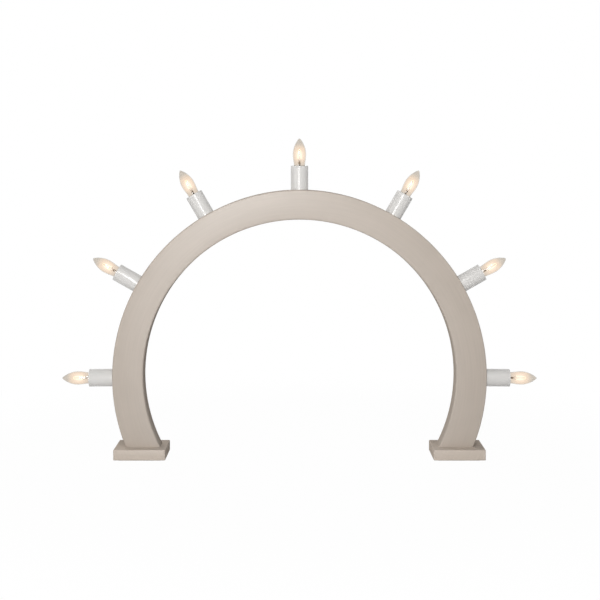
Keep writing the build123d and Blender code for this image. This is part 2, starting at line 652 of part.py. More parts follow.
def wire_drop(angle, offset, run_radius):
    """A light's wire, from its end in the lampholder down to the run it joins."""
    reach = ARCH_OUTER_RADIUS + WIRE_TOP
    along = Vector(sin(radians(angle)), -cos(radians(angle)))
    corner_angle = angle - degrees(asin(offset / run_radius))
    return at_angle(reach, angle) + along * offset, corner_angle


def wire_tube(*edges):
    """A wire along edges in the arch's plane, its corners bent to the wire's radius."""
    path = Wire(edges)
    corners = [edge @ 1 for edge in edges[:-1]]
    bends = [path.vertices().sort_by_distance(corner)[0] for corner in corners]
    path = IN_ARCH * path.fillet_2d(WIRE_BEND_RADIUS, bends)
    return sweep(Plane(origin=path @ 0, z_dir=path % 0) * Circle(WIRE_RADIUS), path=path)


def make_series_wiring():
    """Links from each light to the next, and the two ends spliced beside the bushing."""
    link_radius = CHANNEL_RADIUS + LINK_RUN_OFFSET
    return_radius = CHANNEL_RADIUS + RETURN_RUN_OFFSET
    splice_angle = BUSHING_ANGLE + SPLICE_ANGLE
    pieces = []
    for first, second in zip(LIGHT_ANGLES, LIGHT_ANGLES[1:]):
        top_a, corner_a = wire_drop(first, WIRE_OFFSET, link_radius)
        top_b, corner_b = wire_drop(second, -WIRE_OFFSET, link_radius)
        run = CenterArc((0, 0), link_radius, corner_a, corner_b - corner_a)
        pieces.append(wire_tube(Line(top_a, run @ 0), run, Line(run @ 1, top_b)))
    ends = (
        (LIGHT_ANGLES[-1], WIRE_OFFSET, link_radius),
        (LIGHT_ANGLES[0], -WIRE_OFFSET, return_radius),
    )
    for angle, offset, run_radius in ends:
        top, corner = wire_drop(angle, offset, run_radius)
        run = CenterArc((0, 0), run_radius, corner, splice_angle - corner)
        pieces.append(wire_tube(Line(top, run @ 0), run))
        pieces.append(make_splice(run_radius, splice_angle))
    return pieces


def make_splice(radius, angle):
    """A crimped sleeve over the end of a wire, open at both ends."""
    bore = SPLICE_LENGTH * SPLICE_BORE_SHARE
    sleeve = rod(SPLICE_RADIUS, -SPLICE_LENGTH / 2, SPLICE_LENGTH / 2)
    for end in (-1, 1):
        hole = rod(WIRE_RADIUS + SPLICE_CLEARANCE, SPLICE_LENGTH / 2 - bore, SPLICE_LENGTH / 2)
        sleeve -= Rotation(90 - end * 90, 0, 0) * hole
    centre = IN_ARCH.from_local_coords(at_angle(radius, angle))
    along = IN_ARCH.from_local_coords(at_angle(radius, angle + 90)) - IN_ARCH.origin
    return Plane(origin=centre, z_dir=along) * sleeve


def save(name, *pieces):
    """Write one sub-part, a single solid or a group of separate ones."""
    shape = pieces[0] if len(pieces) == 1 else Compound([s for p in pieces for s in p.solids()])
    export_step(shape, f"parts/{name}.step")


def main():
    os.makedirs("parts", exist_ok=True)
    save("arch", make_arch())
    for side, name in ((-1, "left"), (1, "right")):
        save(f"{name}_foot", make_foot(side))
        save(f"{name}_felt_pad", make_felt_pad(side))
    foot_screws = [p * wood_screw(*FOOT_SCREW) for s in (-1, 1) for p in foot_screw_places(s)]
    save("foot_screws", *foot_screws)
    save("back_cover", make_back_cover())
    save("cover_screws", *[place * wood_screw(*COVER_SCREW) for place in cover_screw_places()])
    save("cable_bushing", make_cable_bushing())
    save("series_wiring", *make_series_wiring())

    contact = make_centre_contact()
    save("centre_contacts", *[light_frame(angle) * contact for angle in LIGHT_ANGLES])
    one_light = {
        "candle_sleeve": [make_candle_sleeve()],
        "lampholder": [make_lampholder()],
        "screw_shell": [make_screw_shell()],
        "bulb_tip": [make_bulb_tip()],
        "bulb_cap": make_bulb_cap(),
        "bulb_glass": [make_bulb_glass()],
        "bulb_filament": make_bulb_filament(),
    }
    for n, angle in enumerate(LIGHT_ANGLES, start=1):
        for name, pieces in one_light.items():
            save(f"{name}_{n}", *[light_frame(angle) * piece for piece in pieces])


main()
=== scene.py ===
from math import cos, degrees, pi, radians, sin

import bmesh
import bpy
from bpy.props import FloatProperty, FloatVectorProperty, PointerProperty
from mathutils import Matrix, Vector
from mathutils.geometry import interpolate_bezier


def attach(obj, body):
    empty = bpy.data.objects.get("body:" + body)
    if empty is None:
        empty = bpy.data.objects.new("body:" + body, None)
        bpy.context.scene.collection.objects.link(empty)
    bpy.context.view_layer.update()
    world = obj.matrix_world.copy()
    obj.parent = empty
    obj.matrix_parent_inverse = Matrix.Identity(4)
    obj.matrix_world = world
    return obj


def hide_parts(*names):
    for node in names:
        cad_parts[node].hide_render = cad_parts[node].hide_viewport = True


bl_info = {
    "name": "Electric candle arch",
    "version": (1, 0, 0),
    "blender": (4, 5, 0),
    "location": "View3D > Sidebar > Candle arch",
    "description": "Dresses a packed candle arch: wood, sleeves, bulbs and studio",
    "category": "Object",
}

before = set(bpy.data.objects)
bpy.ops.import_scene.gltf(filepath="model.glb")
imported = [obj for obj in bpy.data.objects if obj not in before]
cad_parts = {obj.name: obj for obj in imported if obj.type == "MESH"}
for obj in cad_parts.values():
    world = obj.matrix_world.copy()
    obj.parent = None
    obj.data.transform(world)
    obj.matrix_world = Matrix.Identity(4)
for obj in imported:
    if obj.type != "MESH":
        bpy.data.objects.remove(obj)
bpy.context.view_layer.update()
MM = 0.001
MERGE = 0.000001
ARCH_BODY = "arch_assembly"
LIGHTS = range(1, 8)
LOWEST_ANGLE = -32  # degrees: the turned ring starts below the leg's end and is cut off there


def length(name, description, default):
    """A size in metres, given in millimetres."""
    return FloatProperty(
        name=name, description=description, default=default * MM, unit="LENGTH",
        subtype="DISTANCE", precision=5,
    )


def turn(name, description, default):
    """An angle, given in degrees."""
    return FloatProperty(
        name=name, description=description, default=radians(default), unit="ROTATION",
        subtype="ANGLE",
    )


def colour(name, description, default):
    """A colour, given as the screen shows it, from 0 to 255."""
    linear = [pow((c / 255 + 0.055) / 1.055, 2.4) for c in default]
    return FloatVectorProperty(
        name=name, description=description, default=linear, subtype="COLOR", min=0, max=1,
    )


def share(name, description, default):
    """A plain share, from 0 to 1."""
    return FloatProperty(name=name, description=description, default=default, min=0, max=1)


class ArchSizes(bpy.types.PropertyGroup):
    outer_radius: length("Outer radius", "Outer curve of the arch", 218)
    inner_radius: length("Inner radius", "Inner curve of the arch", 182)
    crown_raise: length("Crown raise", "Inner curve's centre above the outer's", 1.4)
    thickness: length("Thickness", "Front face to back face", 25)
    centre_rise: length("Centre rise", "Outer curve's centre above the foot blocks", 81.4)
    edge_rounding: length("Edge rounding", "Rounding of the long edges", 1.6)
    end_chamfer: length("End chamfer", "Chamfer where a leg meets its block", 1.4)
    foot_length: length("Foot length", "Block's length along the arch", 60)
    foot_depth: length("Foot depth", "Block's depth, front to back", 54)
    foot_height: length("Foot height", "Block's height above the felt", 12)
    foot_shift: length("Foot shift", "Block's centre beyond the middle of the leg", 2.5)
    foot_corner: length("Foot corner", "Rounding of the block's upright corners", 1.3)
    foot_edge: length("Foot edge", "Rounding of the block's other edges", 0.8)
    felt_thickness: length("Felt thickness", "Felt under each block", 1)
    felt_inset: length("Felt inset", "Felt's edge in from the block's", 4)
    felt_corner: length("Felt corner", "Corner radius of the felt", 3)
    felt_edge: length("Felt edge", "Rounding of the felt's other edges", 0.3)
    light_step: turn("Light step", "Angle from one light to the next", 30.2)


class BackSizes(bpy.types.PropertyGroup):
    channel_radius: length("Channel radius", "Middle line of the wire channel", 200)
    channel_width: length("Channel width", "Width of the wire channel", 8)
    channel_depth: length("Channel depth", "Depth of the wire channel", 14)
    cover_width: length("Cover width", "Width of the strip over the channel", 20)
    cover_thickness: length("Cover thickness", "Thickness of that strip", 1.5)
    cover_gap: length("Cover gap", "Joint all round the strip", 0.25)
    cover_edge: length("Cover edge", "Rounding of the strip's outside edge", 0.3)
    start: turn("Start", "Where the channel starts, at the cable bushing", -15)
    channel_past: turn("Channel past", "Channel beyond the last light", 3.5)
    cover_past: turn("Cover past", "Strip beyond the last light", 6.5)
    bushing_bore: length("Bushing bore", "Radius of the hole for the cable", 2.9)
    bushing_flange: length("Bushing flange", "Radius of the flange", 7)
    bushing_stand: length("Bushing stand", "Thickness of the flange", 1.6)
    bushing_neck: length("Bushing neck", "Radius in the strip's hole", 5)
    bushing_barb: length("Bushing barb", "Radius of the barb behind the strip", 5.6)
    bushing_barb_height: length("Bushing barb height", "Length of that barb", 1.6)
    bushing_barb_gap: length("Bushing barb gap", "Between the strip and the barb", 0.15)
    bushing_body: length("Bushing body", "Radius of the inner end", 4.4)
    bushing_reach: length("Bushing reach", "Inner end below the back face", 7.5)
    bushing_rim: length("Bushing rim", "Rounding of the cable bushing's flange", 0.6)


class SleeveSizes(bpy.types.PropertyGroup):
    seat_depth: length("Seat depth", "Seat that the sleeve stands in", 2)
    radius: length("Radius", "Outside of the candle sleeve", 10.2)
    wall: length("Wall", "Wall of the sleeve", 1.2)
    stand: length("Stand", "Sleeve's mouth above the arch", 28)
    lip: length("Lip", "The wall turns in by this much at the mouth", 0.7)
    lip_height: length("Lip height", "Height of that lip", 1)
    rounding: length("Rounding", "Rounding of the mouth's edges", 0.35)


class BulbSizes(bpy.types.PropertyGroup):
    thread_foot: length("Thread foot", "Bottom of the screw cap", 17.05)
    thread_top: length("Thread top", "Top of the thread", 24.05)
    cap_top: length("Cap top", "Top of the cap's skirt", 26.05)
    thread_radius: length("Thread radius", "Mean radius of the thread", 4.47)
    thread_throw: length("Thread throw", "Half the depth of the thread", 0.255)
    thread_pitch: length("Thread pitch", "One turn of the thread", 25.4 / 14)
    skirt_radius: length("Skirt radius", "Plain skirt above the thread", 4.8)
    skirt_rounding: length("Skirt rounding", "Rounding of the skirt's edges", 0.1)
    neck_foot: length("Neck foot", "Foot of the glass inside the cap", 23.35)
    neck_radius: length("Neck radius", "Glass inside the cap", 3.8)
    rim_height: length("Rim height", "Where the glass leaves the cap", 26.15)
    rim_radius: length("Rim radius", "Glass where it leaves the cap", 4.4)
    shoulder_height: length("Shoulder height", "Top of the glass's foot curve", 28.1)
    shoulder_radius: length("Shoulder radius", "Glass at the shoulder", 6.6)
    waist_height: length("Widest height", "Widest place of the glass", 42)
    waist_radius: length("Widest radius", "Glass at its widest", 7.8)
    tip_height: length("Tip height", "Tip of the glass", 60)
    glass_wall: length("Glass wall", "Thickness of the glass", 0.6)
    # Painted light: the filament's light is painted into the glass's colour from this height up
    painted_light_foot: length("Tint foot", "Where the tint of the glass starts", 26)
    tip_width: share("Tip width", "Bluntness of the tip, of the widest radius", 0.26)
    tip_bend: share("Tip bend", "Bend above the widest place, of the way to the tip", 0.46)
    waist_bend: share("Widest bend", "Bend below it, of the way to the shoulder", 0.42)
    shoulder_bend: share("Shoulder bend", "Bend above the shoulder, of the same way", 0.3)
    foot_bend: share("Foot bend", "Bend below the shoulder, of the way to the cap", 0.62)
    rim_bend: share("Rim bend", "Bend out of the cap, of the step in radius", 0.2)
    bead_foot: length("Bead foot", "Bottom of the bead that holds the leads", 30)
    bead_top: length("Bead top", "Top of that bead", 33)
    bead_radius: length("Bead radius", "Radius of that bead", 1.2)
    bead_rounding: length("Bead rounding", "Rounding of that bead", 0.5)
    mount_foot: length("Mount foot", "Foot of the glass mount", 23.65)
    mount_flare: length("Mount flare", "Radius of the mount's foot", 3)
    mount_waist: length("Mount waist", "Radius where the flare ends", 1.6)
    mount_waist_height: length("Mount waist height", "Where the flare ends", 26.8)
    mount_top: length("Mount top", "Radius of the mount's top", 1.1)
    lead_radius: length("Lead radius", "Radius of the leads", 0.22)
    lead_offset: length("Lead offset", "Each lead from the bulb's axis", 0.65)
    lead_bend: length("Lead bend", "Bend of the leads above the bead", 0.8)
    hook_radius: length("Hook radius", "Radius of the hook's wire", 0.15)
    filament_foot: length("Filament foot", "Ends of the filament", 36)
    filament_top: length("Filament top", "Crown of the filament", 46.8)
    filament_spread: length("Filament spread", "Each end from the bulb's axis", 2.2)
    filament_crown: length("Filament crown", "Half the crown's width", 1.3)
    filament_radius: length("Filament radius", "Radius of the wound filament", 0.28)
    filament_gap: length("Filament gap", "Between the filament and what holds it", 0.2)
    coil_pitch: length("Coil pitch", "One turn of the wound filament", 0.6)


class Finishes(bpy.types.PropertyGroup):
    paint: colour("Paint", "Satin paint on the wood", (174, 163, 152))
    # Painted light: the same paint, written lighter on the blocks to stand in for the extra light
    # they catch
    block_paint: colour("Block paint", "The same paint on the foot blocks", (187, 175, 163))
    sleeve: colour("Sleeve", "Plastic of the candle sleeves", (209, 207, 204))
    holder: colour("Lampholder", "Plastic of the lampholders", (214, 210, 202))
    board: colour("Board", "Strip over the wire channel", (150, 118, 86))
    felt: colour("Felt", "Felt under the blocks", (196, 190, 180))
    bushing: colour("Bushing", "Plastic of the cable bushing", (222, 219, 212))
    brass: colour("Brass", "Contacts and screw shells", (196, 164, 96))
    cap: colour("Cap", "Plated cap of a bulb", (206, 190, 150))
    steel: colour("Steel", "Zinc-plated screws", (190, 192, 192))
    solder: colour("Solder", "Solder on the contacts", (176, 176, 174))
    insulation: colour("Insulation", "Insulation of the wires", (232, 230, 224))
    glass: colour("Glass", "Clear tip and foot of a bulb", (229, 224, 217))
    # Painted light: the filament's light, painted as a tint into the glass round it
    painted_filament_light: colour("Glow", "Glass round the filament", (250, 238, 225))
    light: colour("Light", "Light of the filament", (255, 236, 208))
    filament: colour("Filament", "Metal of the filament", (123.6, 117.6, 108))
    bead: colour("Bead", "Glass of the bead on the leads", (169.6, 153.3, 131.8))
    lead: colour("Lead", "Wire of the leads and the hook", (178.9, 173.4, 165.7))
    # Painted shade: how much the glass's colour is darkened towards its rim
    rim: share("Rim", "How much darker the glass is at its rim", 0.85)
    # Painted light: the inner wall of the glass gives off the filament's bloom itself
    bloom: share("Bloom", "Strength of the bloom round the filament", 0.17)
    heat: FloatProperty(name="Heat", description="Strength of the filament's light", default=1.7)


class Studio(bpy.types.PropertyGroup):
    camera_x: length("Camera X", "Camera to the side", -1.7)
    camera_y: length("Camera Y", "Camera in front", -1424.8)
    camera_z: length("Camera Z", "Camera above the ground", 335.9)
    floor_size: length("Floor size", "Side of the floor", 9000)
    floor_tone: share("Floor tone", "How much light the floor gives back", 0.72)
    floor_white: share("Floor white", "Share of plain white round the object", 0.98)
    shadow_near: length("Shadow near", "Where the object's shadow starts to fade", 300)
    shadow_far: length("Shadow far", "Where the floor is plain white", 600)
    lens: FloatProperty(name="Lens", description="Focal length, mm", default=73.01)
    pitch: turn("Pitch", "Camera's tilt down", 0.488)
    shift_x: share("Shift X", "Camera's sideways shift", 0.0033)
    shift_y: FloatProperty(name="Shift Y", description="Camera's upward shift", default=-0.2)
    key_power: FloatProperty(name="Key", description="Power of the key lamp, W", default=14)
    front_power: FloatProperty(name="Front", description="Power of the front lamp, W", default=9.5)
    side_power: FloatProperty(name="Side", description="Power of the left lamp, W", default=3.8)
    back_power: FloatProperty(name="Back", description="Power of the back lamp, W", default=10)
    fill: share("Fill", "Light of the room from all sides", 0.2)


def light_angle(number):
    """A light's angle about the arch's centre; the middle one stands straight up."""
    middle = (LIGHTS[0] + LIGHTS[-1]) / 2
    return pi / 2 + bpy.context.scene.arch_sizes.light_step * (middle - number)


def place_of_light(number):
    """Where one light stands: origin on the arch's surface, Z straight out, X to the next."""
    arch = bpy.context.scene.arch_sizes
    angle = light_angle(number)
    out = Vector((cos(angle), 0, sin(angle)))
    along = Vector((sin(angle), 0, -cos(angle)))
    facing = Matrix((along, Vector((0, 1, 0)), out)).transposed().to_4x4()
    return Matrix.Translation(arch_centre() + out * arch.outer_radius) @ facing


def arch_centre():
    """Centre of the outer curve."""
    arch = bpy.context.scene.arch_sizes
    height = arch.felt_thickness + arch.foot_height + arch.centre_rise
    return Vector((0, 0, height))


def arch_point(radius, angle, y):
    """A point at a radius and an angle about the arch's centre."""
    return arch_centre() + Vector((radius * cos(angle), y, radius * sin(angle)))


def chain(bm, points, closed):
    """A line of vertices and edges through some points."""
    verts = [bm.verts.new(p) for p in points]
    pairs = list(zip(verts, verts[1:]))
    if closed:
        pairs.append((verts[-1], verts[0]))
    return verts + [bm.edges.new(pair) for pair in pairs]


def clean(bm):
    """Closes seams and poles and points every face outwards."""
    bmesh.ops.remove_doubles(bm, verts=bm.verts, dist=MERGE)
    bmesh.ops.recalc_face_normals(bm, faces=bm.faces)


def turned(outline, steps, closed):
    """A turned shape about Z from an outline of radii and heights."""
    bm = bmesh.new()
    line = chain(bm, [(r, 0, z) for r, z in outline], closed)
    bmesh.ops.spin(
        bm, geom=line, cent=(0, 0, 0), axis=(0, 0, 1), angle=2 * pi, steps=steps, use_merge=True
    )
    clean(bm)
    return bm


def sharp_edges(bm, angle=30):
    """Edges whose faces meet at more than an angle in degrees."""
    return [e for e in bm.edges if len(e.link_faces) == 2 and e.calc_face_angle() > radians(angle)]


def soften(bm, edges, offset, segments):
    """Rounds some edges, or cuts them off flat with one segment."""
    bmesh.ops.bevel(
        bm, geom=list(edges), offset=offset, offset_type="OFFSET", segments=segments,
        profile=0.5, affect="EDGES", clamp_overlap=True, material=-1,
    )


def slab(size, corner, corner_segments, edge, edge_segments):
    """A flat block about the origin, with rounded corners and edges."""
    bm = bmesh.new()
    bmesh.ops.create_cube(bm, size=1, matrix=Matrix.Diagonal((*size, 1)))
    upright = [e for e in bm.edges if abs(e.verts[0].co.z - e.verts[1].co.z) > MERGE]
    soften(bm, upright, corner, corner_segments)
    soften(bm, sharp_edges(bm), edge, edge_segments)
    return bm


def linked(name, data):
    """A new object in the scene."""
    obj = bpy.data.objects.new(name, data)
    bpy.context.scene.collection.objects.link(obj)
    return obj


def add_shape(bm, other):
    """Puts another shape's faces into a bmesh."""
    mesh = bpy.data.meshes.new("part")
    other.to_mesh(mesh)
    other.free()
    bm.from_mesh(mesh)
    bpy.data.meshes.remove(mesh)


def carve(bm, cutter):
    """Cuts one shape out of another."""
    made = []
    for shape in (bm, cutter):
        mesh = bpy.data.meshes.new("carving")
        shape.to_mesh(mesh)
        shape.free()
        made.append(linked("carving", mesh))
    whole, tool = made
    cut = whole.modifiers.new("cut", "BOOLEAN")
    cut.operation = "DIFFERENCE"
    cut.solver = "EXACT"
    cut.use_self = True
    cut.object = tool
    result = bmesh.new()
    result.from_object(whole, bpy.context.evaluated_depsgraph_get())
    for obj in made:
        mesh = obj.data
        bpy.data.objects.remove(obj)
        bpy.data.meshes.remove(mesh)
    return result


def ribbon(radius, width, ends, depths):
    """A curved strip with round ends, about the arch's centre, between two depths."""
    start, end = ends
    near, far = depths
    bm = bmesh.new()
    radii = (radius - width / 2, radius, radius + width / 2)
    line = chain(bm, [arch_point(r, start, near) for r in radii], closed=False)
    run = bmesh.ops.spin(
        bm, geom=line, cent=arch_centre(), axis=(0, -1, 0), angle=end - start,
        steps=round(degrees(end - start)),
    )
    last = [v for v in run["geom_last"] if isinstance(v, bmesh.types.BMVert)]
    for verts, angle, way in ((line[:3], start, 1), (last, end, -1)):
        far_out = max(verts, key=lambda v: (v.co - arch_centre()).length)
        middle = sorted(verts, key=lambda v: (v.co - arch_centre()).length)[1]
        half = bm.edges.get((middle, far_out))
        bmesh.ops.spin(
            bm, geom=[middle, far_out, half], cent=arch_point(radius, angle, near),
            axis=(0, way, 0), angle=pi, steps=24,
        )
    bmesh.ops.remove_doubles(bm, verts=bm.verts, dist=MERGE)
    deep = bmesh.ops.extrude_face_region(bm, geom=bm.faces[:], use_keep_orig=True)
    moved = [v for v in deep["geom"] if isinstance(v, bmesh.types.BMVert)]
    bmesh.ops.translate(bm, verts=moved, vec=(0, far - near, 0))
    clean(bm)
    return bm


def wire(points, radius):
    """A round wire along some points, with its corners rounded."""
    line = bpy.data.curves.new("wire", "CURVE")
    line.dimensions = "3D"
    line.bevel_depth = radius
    line.bevel_resolution = 3
    line.use_fill_caps = True
    spline = line.splines.new("NURBS")
    spline.points.add(len(points) - 1)
    for point, place in zip(spline.points, points):
        point.co = (*place, 1)
    spline.order_u = 3
    spline.use_endpoint_u = True
    spline.resolution_u = 8
    holder = linked("wire", line)
    shown = holder.evaluated_get(bpy.context.evaluated_depsgraph_get())
    mesh = bpy.data.meshes.new_from_object(shown)
    bm = bmesh.new()
    bm.from_mesh(mesh)
    bpy.data.objects.remove(holder)
    bpy.data.curves.remove(line)
    bpy.data.meshes.remove(mesh)
    clean(bm)
    return bm


def finish_piece(bm, name, materials, body, nodes, sharp=35):
    """Makes a shape into a piece that stands for CAD nodes and rides on a body."""
    for face in bm.faces:
        face.smooth = True
    for edge in bm.edges:
        if len(edge.link_faces) == 2 and edge.calc_face_angle() > radians(sharp):
            edge.smooth = False
    mesh = bpy.data.meshes.new(name)
    bm.to_mesh(mesh)
    bm.free()
    for material in materials:
        mesh.materials.append(material)
    piece = linked(name, mesh)
    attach(piece, body)
    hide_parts(*nodes)
    return piece


def dress(nodes, material):
    """Gives CAD nodes a better material."""
    for node in nodes:
        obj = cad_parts[node]
        obj.data.materials.clear()
        obj.data.materials.append(material)


class Nodes:
    """Adds nodes to one tree and joins them up."""

    def __init__(self, tree):
        self.tree = tree

    def fill(self, node, values):
        """Joins or sets some inputs of a node."""
        for key, value in values.items():
            if isinstance(value, bpy.types.NodeSocket):
                self.tree.links.new(value, node.inputs[key])
            else:
                node.inputs[key].default_value = value

    def add(self, kind, values=(), **settings):
        """A new node with some inputs and settings."""
        node = self.tree.nodes.new(kind)
        for key, value in settings.items():
            setattr(node, key, value)
        self.fill(node, dict(values))
        return node

    def math(self, operation, *values):
        """A number made from others."""
        return self.add("ShaderNodeMath", enumerate(values), operation=operation).outputs[0]

    def scaled(self, tint, level):
        """A colour times a number."""
        node = self.add("ShaderNodeVectorMath", {0: tint, "Scale": level}, operation="SCALE")
        return node.outputs[0]

    def spread(self, value, ends, levels, shape="LINEAR"):
        """A value moved from one range to another."""
        given = {
            "Value": value, "From Min": ends[0], "From Max": ends[1],
            "To Min": levels[0], "To Max": levels[1],
        }
        return self.add("ShaderNodeMapRange", given, interpolation_type=shape).outputs[0]

    def facing(self):
        """0 where a surface faces the viewer and 1 at its rim."""
        return self.add("ShaderNodeLayerWeight", {"Blend": 0.5}).outputs["Facing"]

    def ramp(self, factor, stops):
        """A colour that changes along a number."""
        node = self.add("ShaderNodeValToRGB", {"Fac": factor})
        elements = node.color_ramp.elements
        while len(elements) < len(stops):
            elements.new(0)
        for element, (place, tint) in zip(elements, stops):
            element.position = place
            element.color = (*tint, 1)
        return node.outputs["Color"]


def cleared(tree):
    """The nodes of a tree, emptied first."""
    tree.nodes.clear()
    return Nodes(tree)


def new_group(name, inputs, outputs):
    """An empty node group; a socket given as four numbers is a colour, and else a value."""
    tree = bpy.data.node_groups.new(name, "ShaderNodeTree")
    for direction, sockets in (("INPUT", inputs), ("OUTPUT", outputs)):
        for label, default in sockets.items():
            kind = "NodeSocketFloat" if isinstance(default, float) else "NodeSocketColor"
            socket = tree.interface.new_socket(label, in_out=direction, socket_type=kind)
            socket.default_value = default
    nodes = Nodes(tree)
    return tree, nodes, nodes.add("NodeGroupInput"), nodes.add("NodeGroupOutput")


def group(name):
    """The node group of that name, made the first time it is asked for."""
    return bpy.data.node_groups.get(name) or GROUPS[name]()


GREY = (0.8, 0.8, 0.8, 1)


def make_mottle():
    """Slow drift of a colour, and a fine orange peel in its surface."""
    inputs = {
        "Color": GREY, "Drift": 0.03, "Drift Scale": 40.0, "Peel Scale": 900.0,
        "Roughness": 0.5, "Roughness Drift": 0.08,
    }
    outputs = {"Color": GREY, "Roughness": 0.5, "Height": 0.0}
    tree, nodes, given, put = new_group("mottle", inputs, outputs)
    place = nodes.add("ShaderNodeTexCoord").outputs["Object"]
    slow, fine = (
        nodes.add(
            "ShaderNodeTexNoise",
            {"Vector": place, "Scale": given.outputs[scale], "Detail": detail},
        ).outputs["Fac"]
        for scale, detail in (("Drift Scale", 3.0), ("Peel Scale", 2.0))
    )
    swing = nodes.math("SUBTRACT", slow, 0.5)
    level = nodes.math("ADD", nodes.math("MULTIPLY", swing, given.outputs["Drift"]), 1.0)
    change = nodes.math("MULTIPLY", swing, given.outputs["Roughness Drift"])
    nodes.fill(put, {
        "Color": nodes.scaled(given.outputs["Color"], level),
        "Roughness": nodes.math("ADD", given.outputs["Roughness"], change),
        "Height": fine,
    })
    return tree


def make_polar():
    """Radius from the arch's centre, angle about it in radians, and depth from the middle."""
    outputs = {"Radius": 0.0, "Angle": 0.0, "Depth": 0.0}
    tree, nodes, _, put = new_group("polar_place", {}, outputs)
    place = nodes.add("ShaderNodeTexCoord").outputs["Object"]
    apart = nodes.add("ShaderNodeSeparateXYZ", {"Vector": place})
    x, y, z = (apart.outputs[axis] for axis in "XYZ")
    up = nodes.math("SUBTRACT", z, arch_centre().z)
    square = nodes.math("ADD", nodes.math("MULTIPLY", x, x), nodes.math("MULTIPLY", up, up))
    radius, angle = nodes.math("SQRT", square), nodes.math("ARCTAN2", up, x)
    nodes.fill(put, {"Radius": radius, "Angle": angle, "Depth": y})
    return tree


def make_grain():
    """Long streaks that follow the bent wood, seen faintly through paint."""
    inputs = {"Color": GREY, "Strength": 0.04, "Across": 700.0, "Along": 3.3}
    tree, nodes, given, put = new_group("bent_grain", inputs, {"Color": GREY, "Height": 0.0})
    polar = nodes.add("ShaderNodeGroup", node_tree=group("polar_place"))
    streak = nodes.add(
        "ShaderNodeCombineXYZ",
        {
            "X": nodes.math("MULTIPLY", polar.outputs["Radius"], given.outputs["Across"]),
            "Y": nodes.math("MULTIPLY", polar.outputs["Angle"], given.outputs["Along"]),
            "Z": nodes.math("MULTIPLY", polar.outputs["Depth"], given.outputs["Across"]),
        },
    )
    noise = nodes.add(
        "ShaderNodeTexNoise",
        {"Vector": streak.outputs[0], "Scale": 1.0, "Detail": 4.0, "Roughness": 0.6},
    ).outputs["Fac"]
    swing = nodes.math("MULTIPLY", nodes.math("SUBTRACT", noise, 0.5), given.outputs["Strength"])
    tint = nodes.scaled(given.outputs["Color"], nodes.math("ADD", swing, 1.0))
    nodes.fill(put, {"Color": tint, "Height": noise})
    return tree


GROUPS = {"mottle": make_mottle, "polar_place": make_polar, "bent_grain": make_grain}


def finish_name(name):
    """A material's name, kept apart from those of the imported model's own materials."""
    return f"{name}_finish"


def new_material(name):
    """An empty material, its nodes and its shader."""
    material = bpy.data.materials.new(finish_name(name))
    material.use_nodes = True
    nodes = cleared(material.node_tree)
    shader = nodes.add("ShaderNodeBsdfPrincipled")
    nodes.add("ShaderNodeOutputMaterial", {"Surface": shader.outputs[0]})
    return material, nodes, shader


SATIN_FADE = (0.35, 0.85)  # from face on to edge on, where the paint's gloss goes out
VARNISH_IOR = 1.55


def coat(name, tint, roughness, drift=0.04, drift_scale=60.0, peel_scale=1500.0, peel=0.1,
         distance=0.00004, metallic=0.0, grain=0.0, specular=0.5, satin=0.0):
    """A material with a drifting colour and a bumped surface, with grain and satin if asked."""
    made = bpy.data.materials.get(finish_name(name))
    if made:
        return made
    material, nodes, shader = new_material(name)
    base = nodes.add(
        "ShaderNodeGroup",
        {
            "Color": (*tint, 1), "Drift": drift, "Drift Scale": drift_scale,
            "Peel Scale": peel_scale, "Roughness": roughness,
        },
        node_tree=group("mottle"),
    )
    tinted, height = base.outputs["Color"], base.outputs["Height"]
    if grain:
        streaks = nodes.add(
            "ShaderNodeGroup", {"Color": tinted, "Strength": grain},
            node_tree=group("bent_grain"),
        )
        tinted = streaks.outputs["Color"]
        height = nodes.math("ADD", height, streaks.outputs["Height"])
    bump = nodes.add("ShaderNodeBump", {"Strength": peel, "Distance": distance, "Height": height})
    nodes.fill(shader, {
        "Base Color": tinted,
        "Roughness": base.outputs["Roughness"],
        "Normal": bump.outputs[0],
        "Metallic": metallic,
        "Specular IOR Level": specular,
    })
    if satin:
        nodes.fill(shader, {
            "Coat Weight": nodes.spread(nodes.facing(), SATIN_FADE, (1.0, 0.0)),
            "Coat Roughness": satin,
            "Coat IOR": VARNISH_IOR,
        })
    return material


def paint(name, tint):
    """Satin paint over wood."""
    return coat(name, tint, 0.6, drift=0.08, drift_scale=25.0, peel_scale=700.0,
                peel=0.3, grain=0.17, specular=0.0, satin=0.36)


def brass():
    """Stamped sheet of the contacts."""
    return coat("brass", bpy.context.scene.finishes.brass, 0.3, metallic=1.0)


def steel():
    """Plated steel of the screws."""
    return coat("zinc_plate", bpy.context.scene.finishes.steel, 0.35, metallic=1.0)


GLASS_IOR = 1.45
PAINTED_LIGHT_SPAN = (0.3, 0.66)  # where the filament's painted light in the glass is full, from the glass's foot to its tip
CLEAR_TIP = 0.84  # and where the tip is clear
BLOOM_STOPS = ((0.2, 0.0), (0.36, 1.0), (0.48, 1.0), (0.62, 0.0))
RIM_PAINTED_SHADE_POWER = 2.0  # how fast the painted shade at the rim starts
BLOOM_POWER = 10.0  # and how fast the bloom ends away from the middle
COIL_LEVEL, COIL_SWING = 0.85, 0.15  # the filament's light over the turns of its coil


